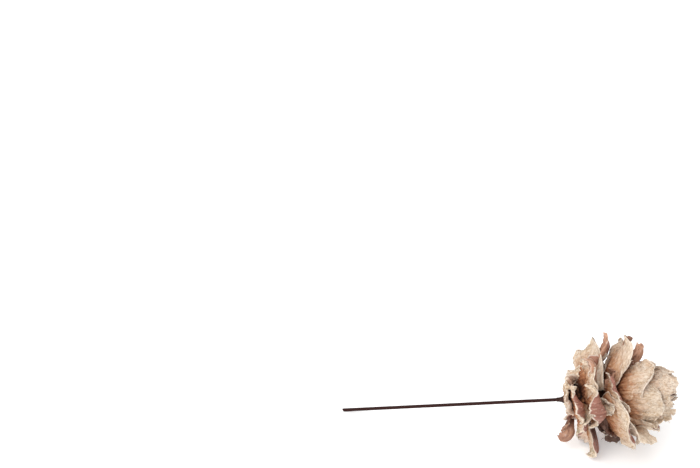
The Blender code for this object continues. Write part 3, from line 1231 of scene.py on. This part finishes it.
@dataclass
class ScaleGroup:
    """Some neighbouring scales of the cone, as one piece."""

    name: str
    forms: list[ScaleForm]
    matrix: Matrix
    finish: bpy.types.Material
    columns: int = 52
    rows: int = 56
    row_power: float = 0.8
    edge_round: float = 0.4
    inner_across: float = 0.95
    inner_up: float = 0.96
    lowest: float = 0.0001
    pale_from: float = 0.014
    pale_over: float = 0.010
    tone_step: float = 0.37
    grain_shift: tuple[float, float] = (40.0, 17.0)

    def blade(self, form: ScaleForm) -> bmesh.types.BMesh:
        """One closed blade, from a grid that is given its shape, a second face and a rounded edge.

        Args:
            form: The scale's fine form.

        Returns:
            The blade's mesh, in the world.
        """
        shape = bmesh.new()
        numbers, vectors = shape.verts.layers.float, shape.verts.layers.float_vector
        across_at, up_at, side_at = (numbers.new(name) for name in ("across", "rise", "side"))
        outward_at, margin_at = (vectors.new(name) for name in ("outward", "margin"))
        bmesh.ops.create_grid(shape, x_segments=self.columns, y_segments=self.rows, size=1.0)
        for vertex in shape.verts:
            across, up = vertex.co.x, ((vertex.co.y + 1.0) / 2.0) ** self.row_power
            vertex[across_at], vertex[up_at] = across, up
            vertex.co = form.point(across, up)
        shape.normal_update()
        for vertex in shape.verts:
            across, up = vertex[across_at], vertex[up_at]
            vertex[outward_at] = vertex.normal
            if vertex.is_boundary:
                inner = form.point(self.inner_across * across, self.inner_up * up)
                vertex[margin_at] = (vertex.co - inner).normalized()
        made = bmesh.ops.extrude_face_region(shape, geom=shape.faces[:], use_keep_orig=True)
        second = {item for item in made["geom"] if isinstance(item, bmesh.types.BMVert)}
        for vertex in second:
            vertex[side_at] = Side.INNER.value
        walls = [edge for edge in shape.edges if len({vertex in second for vertex in edge.verts}) == 2]
        bmesh.ops.subdivide_edges(shape, edges=walls, cuts=1)
        for vertex in shape.verts:
            across, up, side = vertex[across_at], vertex[up_at], vertex[side_at]
            thick = form.thickness(across, up)
            raised = thick * (0.5 - side)
            if side == Side.OUTER.value:
                raised += form.relief(across, up)
            vertex.co += Vector(vertex[outward_at]) * raised
            middle = 1.0 - abs(2.0 * side - 1.0)
            vertex.co += Vector(vertex[margin_at]) * (self.edge_round * thick * middle)
            vertex.co = self.matrix @ vertex.co
            vertex.co.z = max(vertex.co.z, self.lowest)
        bmesh.ops.recalc_face_normals(shape, faces=shape.faces)
        self.mark(shape, form, across_at, up_at)
        return shape

    def mark(self, shape: bmesh.types.BMesh, form: ScaleForm, across_at: Any, up_at: Any) -> None:
        """Gives a blade the numbers and the grain map that its finish reads.

        Args:
            shape: The blade's mesh.
            form: The scale's fine form.
            across_at: The layer that holds each point's place across the blade.
            up_at: The layer that holds each point's place up the blade.
        """
        names = ("rim", "tone", "browned", "painted_shade", "pale")
        numbers = shape.verts.layers.float
        rim_at, tone_at, browned_at, painted_shade_at, pale_at = (numbers.new(name) for name in names)
        pale = smooth((form.scale.root_x - self.pale_from) / self.pale_over)
        grain_at = shape.loops.layers.uv.new("grain")
        tone = (form.seed * self.tone_step) % 1.0
        for vertex in shape.verts:
            vertex[rim_at] = form.rim_distance(vertex[across_at], vertex[up_at])
            vertex[tone_at] = tone
            vertex[browned_at] = form.wear.browned
            # The painted shade that the finish reads.
            vertex[painted_shade_at] = form.wear.painted_shade
            vertex[pale_at] = pale
        width = MM_PER_METRE * form.scale.half_width
        length = MM_PER_METRE * form.scale.length
        shift_across, shift_up = (form.seed * shift for shift in self.grain_shift)
        for face in shape.faces:
            face.smooth = True
            for loop in face.loops:
                across, up = loop.vert[across_at], loop.vert[up_at]
                loop[grain_at].uv = (across * width + shift_across, up * length + shift_up)

    def build(self) -> bpy.types.Object:
        """Joins the blades into one piece."""
        mesh = bpy.data.meshes.new(self.name)
        whole = bmesh.new()
        for form in self.forms:
            blade = self.blade(form)
            blade.to_mesh(mesh)
            blade.free()
            whole.from_mesh(mesh)
        whole.to_mesh(mesh)
        whole.free()
        piece = bpy.data.objects.new(self.name, mesh)
        mesh.materials.append(self.finish)
        bpy.context.scene.collection.objects.link(piece)
        return piece


def turned(profile: list[tuple[float, float]], sides: int) -> bmesh.types.BMesh:
    """A shape turned about +X.

    Args:
        profile: Points of distance along X and radius, whose ends are on the axis.
        sides: The number of steps round.

    Returns:
        The closed shape.
    """
    shape = bmesh.new()
    points = [shape.verts.new((x, 0.0, radius)) for x, radius in profile]
    edges = [shape.edges.new(pair) for pair in zip(points, points[1:])]
    bmesh.ops.spin(
        shape,
        geom=points + edges,
        cent=(0.0, 0.0, 0.0),
        axis=(1.0, 0.0, 0.0),
        angle=2.0 * math.pi,
        steps=sides,
        use_merge=True,
    )
    bmesh.ops.remove_doubles(shape, verts=shape.verts, dist=MERGE_DISTANCE)
    bmesh.ops.recalc_face_normals(shape, faces=shape.faces)
    return shape


def piece_from(shape: bmesh.types.BMesh, name: str, finish: bpy.types.Material) -> bpy.types.Object:
    """Makes a smooth-shaded piece.

    Args:
        shape: Its mesh, in the world, which is freed.
        name: The piece's name.
        finish: Its material.

    Returns:
        The piece.
    """
    for face in shape.faces:
        face.smooth = True
    mesh = bpy.data.meshes.new(name)
    shape.to_mesh(mesh)
    shape.free()
    mesh.materials.append(finish)
    piece = bpy.data.objects.new(name, mesh)
    bpy.context.scene.collection.objects.link(piece)
    return piece


@dataclass
class LooseFibres:
    """Threads that stand off the torn edges, and dark frizz in the deep gaps."""

    forms: list[ScaleForm]
    matrix: Matrix
    finish: bpy.types.Material
    seed: int = 5
    edge_threads: int = 7
    steps: int = 8
    sides: int = 4
    thread_length: tuple[float, float] = (0.0005, 0.0018)
    frizz_length: tuple[float, float] = (0.0010, 0.0040)
    thread_radius: tuple[float, float] = (0.00004, 0.00009)
    waviness: float = 0.9
    waves: float = 2.3
    thread_key: float = 9000.0
    inset: float = 0.985
    side_share: float = 0.45
    edge_stray: float = 0.6
    gap_stray: float = 0.5
    pale_share: float = 0.2
    edge_tone: tuple[float, float] = (0.6, 1.0)
    frizz_tone: tuple[float, float] = (0.0, 0.45)
    pale_tone: float = 0.9
    lowest: float = 0.0002

    def thread(
        self,
        shape: bmesh.types.BMesh,
        start: Vector,
        heading: Vector,
        length: float,
        tone: float,
    ) -> None:
        """Adds one wavy thread that is pointed at both ends.

        Args:
            shape: The mesh that it joins.
            start: Where it starts, in the cone's frame.
            heading: The way it sets off.
            length: Its length.
            tone: Its colour, from 0 for dark to 1 for pale.
        """
        tone_at = shape.verts.layers.float["tone"]
        first = heading.orthogonal().normalized()
        second = heading.cross(first).normalized()
        key = start.length * self.thread_key + tone
        thinnest, thickest = self.thread_radius
        radius = thinnest + (thickest - thinnest) * abs(math.sin(key))
        made = bmesh.ops.create_grid(shape, x_segments=self.steps, y_segments=self.sides, size=1.0)
        for vertex in made["verts"]:
            share = (vertex.co.x + 1.0) / 2.0
            turn = math.pi * vertex.co.y
            swing = self.waviness * length * share
            spot = start + heading * (length * share)
            spot += first * (swing * wander(share * self.waves, key, 1.0))
            spot += second * (swing * wander(share * self.waves, key, 2.0))
            slim = radius * math.sqrt(max(0.0, 4.0 * share * (1.0 - share)))
            spot += (first * math.cos(turn) + second * math.sin(turn)) * slim
            spot = self.matrix @ spot
            spot.z = max(spot.z, self.lowest)
            vertex.co = spot
            vertex[tone_at] = tone

    def edge_start(self, form: ScaleForm, draw: random.Random) -> tuple[Vector, Vector]:
        """Draws a place on a blade's free edge.

        Args:
            form: The blade.
            draw: The seeded draws.

        Returns:
            The place, and a heading off the edge.
        """
        across, up = draw.uniform(-1.0, 1.0), self.inset
        if draw.random() < self.side_share:
            across, up = math.copysign(self.inset, across), draw.uniform(0.45, 1.0)
        place = form.point(across, up)
        outward = place - form.point(0.9 * across, up - 0.06)
        stray = Vector([draw.gauss(0.0, self.edge_stray) for _ in range(3)])
        return place, (outward.normalized() + stray).normalized()

    def gap_start(self, form: ScaleForm, draw: random.Random) -> tuple[Vector, Vector]:
        """Draws a place on the face of a blade.

        Args:
            form: The blade.
            draw: The seeded draws.

        Returns:
            The place, and a heading off the face to either side.
        """
        across, up = draw.uniform(-0.9, 0.9), draw.uniform(0.35, 0.98)
        place = form.point(across, up)
        ahead = form.point(across, up + 0.02) - place
        aside = form.point(across + 0.04, up) - place
        off_face = aside.cross(ahead).normalized() * draw.choice((-1.0, 1.0))
        stray = Vector([draw.gauss(0.0, self.gap_stray) for _ in range(3)])
        return place, (off_face + stray).normalized()

    def build(self) -> bpy.types.Object:
        """Builds every thread into one piece."""
        draw = random.Random(self.seed)
        shape = bmesh.new()
        shape.verts.layers.float.new("tone")
        for form in self.forms:
            for _ in range(self.edge_threads):
                place, heading = self.edge_start(form, draw)
                length, tone = draw.uniform(*self.thread_length), draw.uniform(*self.edge_tone)
                self.thread(shape, place, heading, length, tone)
            for _ in range(form.wear.frizz):
                place, heading = self.gap_start(form, draw)
                pale = draw.random() < self.pale_share
                tone = self.pale_tone if pale else draw.uniform(*self.frizz_tone)
                self.thread(shape, place, heading, draw.uniform(*self.frizz_length), tone)
        bmesh.ops.remove_doubles(shape, verts=shape.verts, dist=MERGE_DISTANCE)
        bmesh.ops.recalc_face_normals(shape, faces=shape.faces)
        return piece_from(shape, "loose_fibres", self.finish)


@dataclass
class ConeBody:
    """The cone: its core, four groups of scales and the fibres that stand off them."""

    pose: PickPose
    rule: SpiralRule = SpiralRule()
    base_until: int = 7
    lower_until: int = 19
    upper_until: int = 31
    core_sides: int = 32
    core_rows: int = 26
    core_shrink: float = 0.92
    core_base_round: float = 0.12
    core_rubble: float = 0.0005
    rubble_often: float = 1400.0
    scale_seeds: tuple[float, float] = (1.0, 1.7)
    bit_seeds: tuple[float, float] = (101.0, 2.3)

    def forms(self) -> list[ScaleForm]:
        """The fine form of every scale."""
        first, step = self.scale_seeds
        scales = self.rule.scales(HAND_SET)
        worn = [WORN.get(index, Wear()) for index in range(len(scales))]
        return [ScaleForm(scale, first + step * index, worn[index]) for index, scale in enumerate(scales)]

    def bits(self) -> list[ScaleForm]:
        """The fine form of every broken bit."""
        first, step = self.bit_seeds
        return [bit.form(self.rule, first + step * index) for index, bit in enumerate(BROKEN_BITS)]

    def groups(self) -> list[ScaleGroup]:
        """The scales in groups from base to bud, and the broken bits between them."""
        finish = BleachedScaleFinish().material()
        matrix = self.pose.cone_matrix()
        forms = self.forms()
        named = (
            ("base_scales", forms[: self.base_until] + forms[self.rule.scale_count :]),
            ("lower_scales", forms[self.base_until : self.lower_until]),
            ("upper_scales", forms[self.lower_until : self.upper_until]),
            ("bud_scales", forms[self.upper_until : self.rule.scale_count]),
            ("broken_bits", self.bits()),
        )
        return [ScaleGroup(name, members, matrix, finish) for name, members in named]

    def core(self) -> bpy.types.Object:
        """The rough spindle between the roots of the scales."""
        length = self.rule.core_length
        shares = [row / self.core_rows for row in range(self.core_rows + 1)]
        wall = []
        for share in shares:
            rounded = math.sqrt(smooth(share / self.core_base_round) * 0.75 + 0.25)
            wall.append((share * length, along(self.rule.core_radius, share) * self.core_shrink * rounded))
        shape = turned([(0.0, 0.0), *wall, (length, 0.0)], self.core_sides)
        matrix = self.pose.cone_matrix()
        for vertex in shape.verts:
            off_axis = Vector((0.0, vertex.co.y, vertex.co.z))
            rubble = self.core_rubble * wander(*(vertex.co * self.rubble_often))
            if off_axis.length > 0.0:
                vertex.co += off_axis.normalized() * rubble
            vertex.co = matrix @ vertex.co
        return piece_from(shape, "cone_core", CoreFinish().material())

    def build(self) -> list[bpy.types.Object]:
        """Builds the cone's pieces, which together stand for its node."""
        fibres = LooseFibres(self.forms(), self.pose.cone_matrix(), FibreFinish().material())
        pieces = [group.build() for group in self.groups()] + [self.core(), fibres.build()]
        for piece in pieces:
            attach(piece, BODY)
            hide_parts("cone")
        return pieces


@dataclass
class StubWire:
    """The straight lacquered wire and its bare slanted cut."""

    pose: PickPose
    radius: float = 0.0006
    length: float = 0.0960
    depth: float = 0.0140
    cut_angle: float = 27.0
    sides: int = 20
    rings: int = 120
    unevenness: float = 0.00003
    unevenness_often: float = 700.0
    sheared_length: float = 0.004
    cut_depth: float = 0.0001
    sharp_from: float = 40.0

    def rod(self) -> bmesh.types.BMesh:
        """The wire along X, sheared at its free end, with its lacquer's small unevenness."""
        free_end = self.depth - self.length
        wall = [(free_end + self.length * ring / self.rings, self.radius) for ring in range(self.rings + 1)]
        shape = turned([(free_end, 0.0), *wall, (self.depth, 0.0)], self.sides)
        for vertex in shape.verts:
            off_axis = Vector((0.0, vertex.co.y, vertex.co.z))
            if off_axis.length > 0.0:
                swell = wander(*(vertex.co * self.unevenness_often)) * self.unevenness
                vertex.co += off_axis.normalized() * swell
            near_end = smooth(1.0 - (vertex.co.x - free_end) / self.sheared_length)
            vertex.co.x -= near_end * vertex.co.z * math.tan(math.radians(self.cut_angle))
        return shape

    def build(self) -> list[bpy.types.Object]:
        """Builds the wire, with its cut face in bare steel."""
        shape = self.rod()
        free_end = self.depth - self.length
        matrix = self.pose.wire_matrix()
        cut_end = free_end + self.cut_depth
        cut_faces = [face for face in shape.faces if face.calc_center_median().x < cut_end]
        for vertex in shape.verts:
            vertex.co = matrix @ vertex.co
            vertex.co.z = max(vertex.co.z, 0.0)
        for face in cut_faces:
            if abs(face.normal.x) > 0.5:
                face.material_index = 1
        piece = piece_from(shape, "stub_wire", WireFinish().material())
        piece.data.materials.append(CutSteelFinish().material())
        piece.data.set_sharp_from_angle(angle=math.radians(self.sharp_from))
        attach(piece, BODY)
        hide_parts("wire")
        return [piece]


@dataclass
class GlueBead:
    """The small flared bead of glue where the wire enters the cone."""

    pose: PickPose
    length: float = 0.0033
    small_radius: float = 0.00075
    large_radius: float = 0.0023
    sides: int = 28
    rows: int = 14
    flare_power: float = 2.8
    lumps: float = 0.00022
    lumps_often: float = 900.0

    def build(self) -> list[bpy.types.Object]:
        """Builds the bead."""
        wall = []
        widening = self.large_radius - self.small_radius
        for row in range(self.rows + 1):
            share = row / self.rows
            flare = (1.0 - share) ** self.flare_power
            wall.append((-self.length * share, self.small_radius + widening * flare))
        wall.reverse()
        shape = turned([(-self.length, 0.0), *wall, (0.0, 0.0)], self.sides)
        matrix = self.pose.wire_matrix()
        for vertex in shape.verts:
            off_axis = Vector((0.0, vertex.co.y, vertex.co.z))
            if off_axis.length > 0.0:
                share = (off_axis.length - self.small_radius) / widening
                lump = self.lumps * wander(*(vertex.co * self.lumps_often)) * smooth(share * 2.0 + 0.2)
                vertex.co += off_axis.normalized() * lump
            vertex.co = matrix @ vertex.co
        piece = piece_from(shape, "glue_bead", GlueFinish().material())
        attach(piece, BODY)
        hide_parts("glue_collar")
        return [piece]


@dataclass
class Studio:
    """The pale floor, the soft lights and the photograph's camera."""

    azimuth: float = 10.888
    elevation: float = 35.0
    distance: float = 0.9
    lens: float = 119.372
    sensor: float = 36.0
    aim: tuple[float, float, float] = (-0.072696, 0.082585, 0.02)
    floor_size: float = 6.0
    floor_white: Colour = (0.93, 0.93, 0.93)
    floor_glow: float = 0.27
    key_power: float = 7.2
    key_size: float = 0.9
    key_place: tuple[float, float, float] = (-0.3, -0.62, 0.95)
    sky: float = 0.92

    def camera(self) -> None:
        """Puts the camera where the wire's two ends fall as in the photograph."""
        turn, climb = math.radians(self.azimuth), math.radians(self.elevation)
        level = math.cos(climb)
        back = Vector((math.sin(turn) * level, -math.cos(turn) * level, math.sin(climb)))
        data = bpy.data.cameras.new("camera")
        data.lens = self.lens
        data.sensor_width = self.sensor
        data.clip_start = 0.01
        view = bpy.data.objects.new("camera", data)
        view.location = Vector(self.aim) + back * self.distance
        view.rotation_mode = "QUATERNION"
        view.rotation_quaternion = (-back).to_track_quat("-Z", "Y")
        bpy.context.scene.collection.objects.link(view)
        bpy.context.scene.camera = view

    def floor(self) -> None:
        """A plain white floor, lit a little from below like a photographer's light table."""
        board = NodeBoard("pale_floor")
        cloud = board.cloud(board.place(), 8.0, 2.0)
        white = board.shade(self.floor_white, 0.99 + cloud * 0.02)
        material = board.finish(
            Base_Color=white,
            Roughness=0.8,
            Emission_Color=white,
            Emission_Strength=self.floor_glow,
        )
        shape = bmesh.new()
        bmesh.ops.create_grid(shape, x_segments=1, y_segments=1, size=self.floor_size / 2.0)
        piece_from(shape, "floor", material)

    def lights(self) -> None:
        """A pale sky all round, and one large soft light from the upper left."""
        world = bpy.data.worlds.new("pale_room")
        world.use_nodes = True
        world.node_tree.nodes["Background"].inputs["Color"].default_value = (1.0, 1.0, 1.0, 1.0)
        world.node_tree.nodes["Background"].inputs["Strength"].default_value = self.sky
        bpy.context.scene.world = world
        lamp = bpy.data.lights.new("key", "AREA")
        lamp.size = self.key_size
        lamp.energy = self.key_power
        key = bpy.data.objects.new("key", lamp)
        key.location = self.key_place
        key.rotation_mode = "QUATERNION"
        key.rotation_quaternion = (-Vector(self.key_place)).to_track_quat("-Z", "Y")
        bpy.context.scene.collection.objects.link(key)

    def build(self) -> None:
        """Sets up the whole stage."""
        self.camera()
        self.floor()
        self.lights()
        bpy.context.scene.view_settings.view_transform = "Standard"


def main() -> None:
    """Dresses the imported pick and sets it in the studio."""
    logging.basicConfig(level=logging.INFO, format="%(name)s: %(message)s")
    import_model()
    Studio().build()
    pose = PickPose()
    for maker in (ConeBody(pose), StubWire(pose), GlueBead(pose)):
        for piece in maker.build():
            LOG.info("%s has %d faces", piece.name, len(piece.data.polygons))


if __name__ == "__main__":
    main()
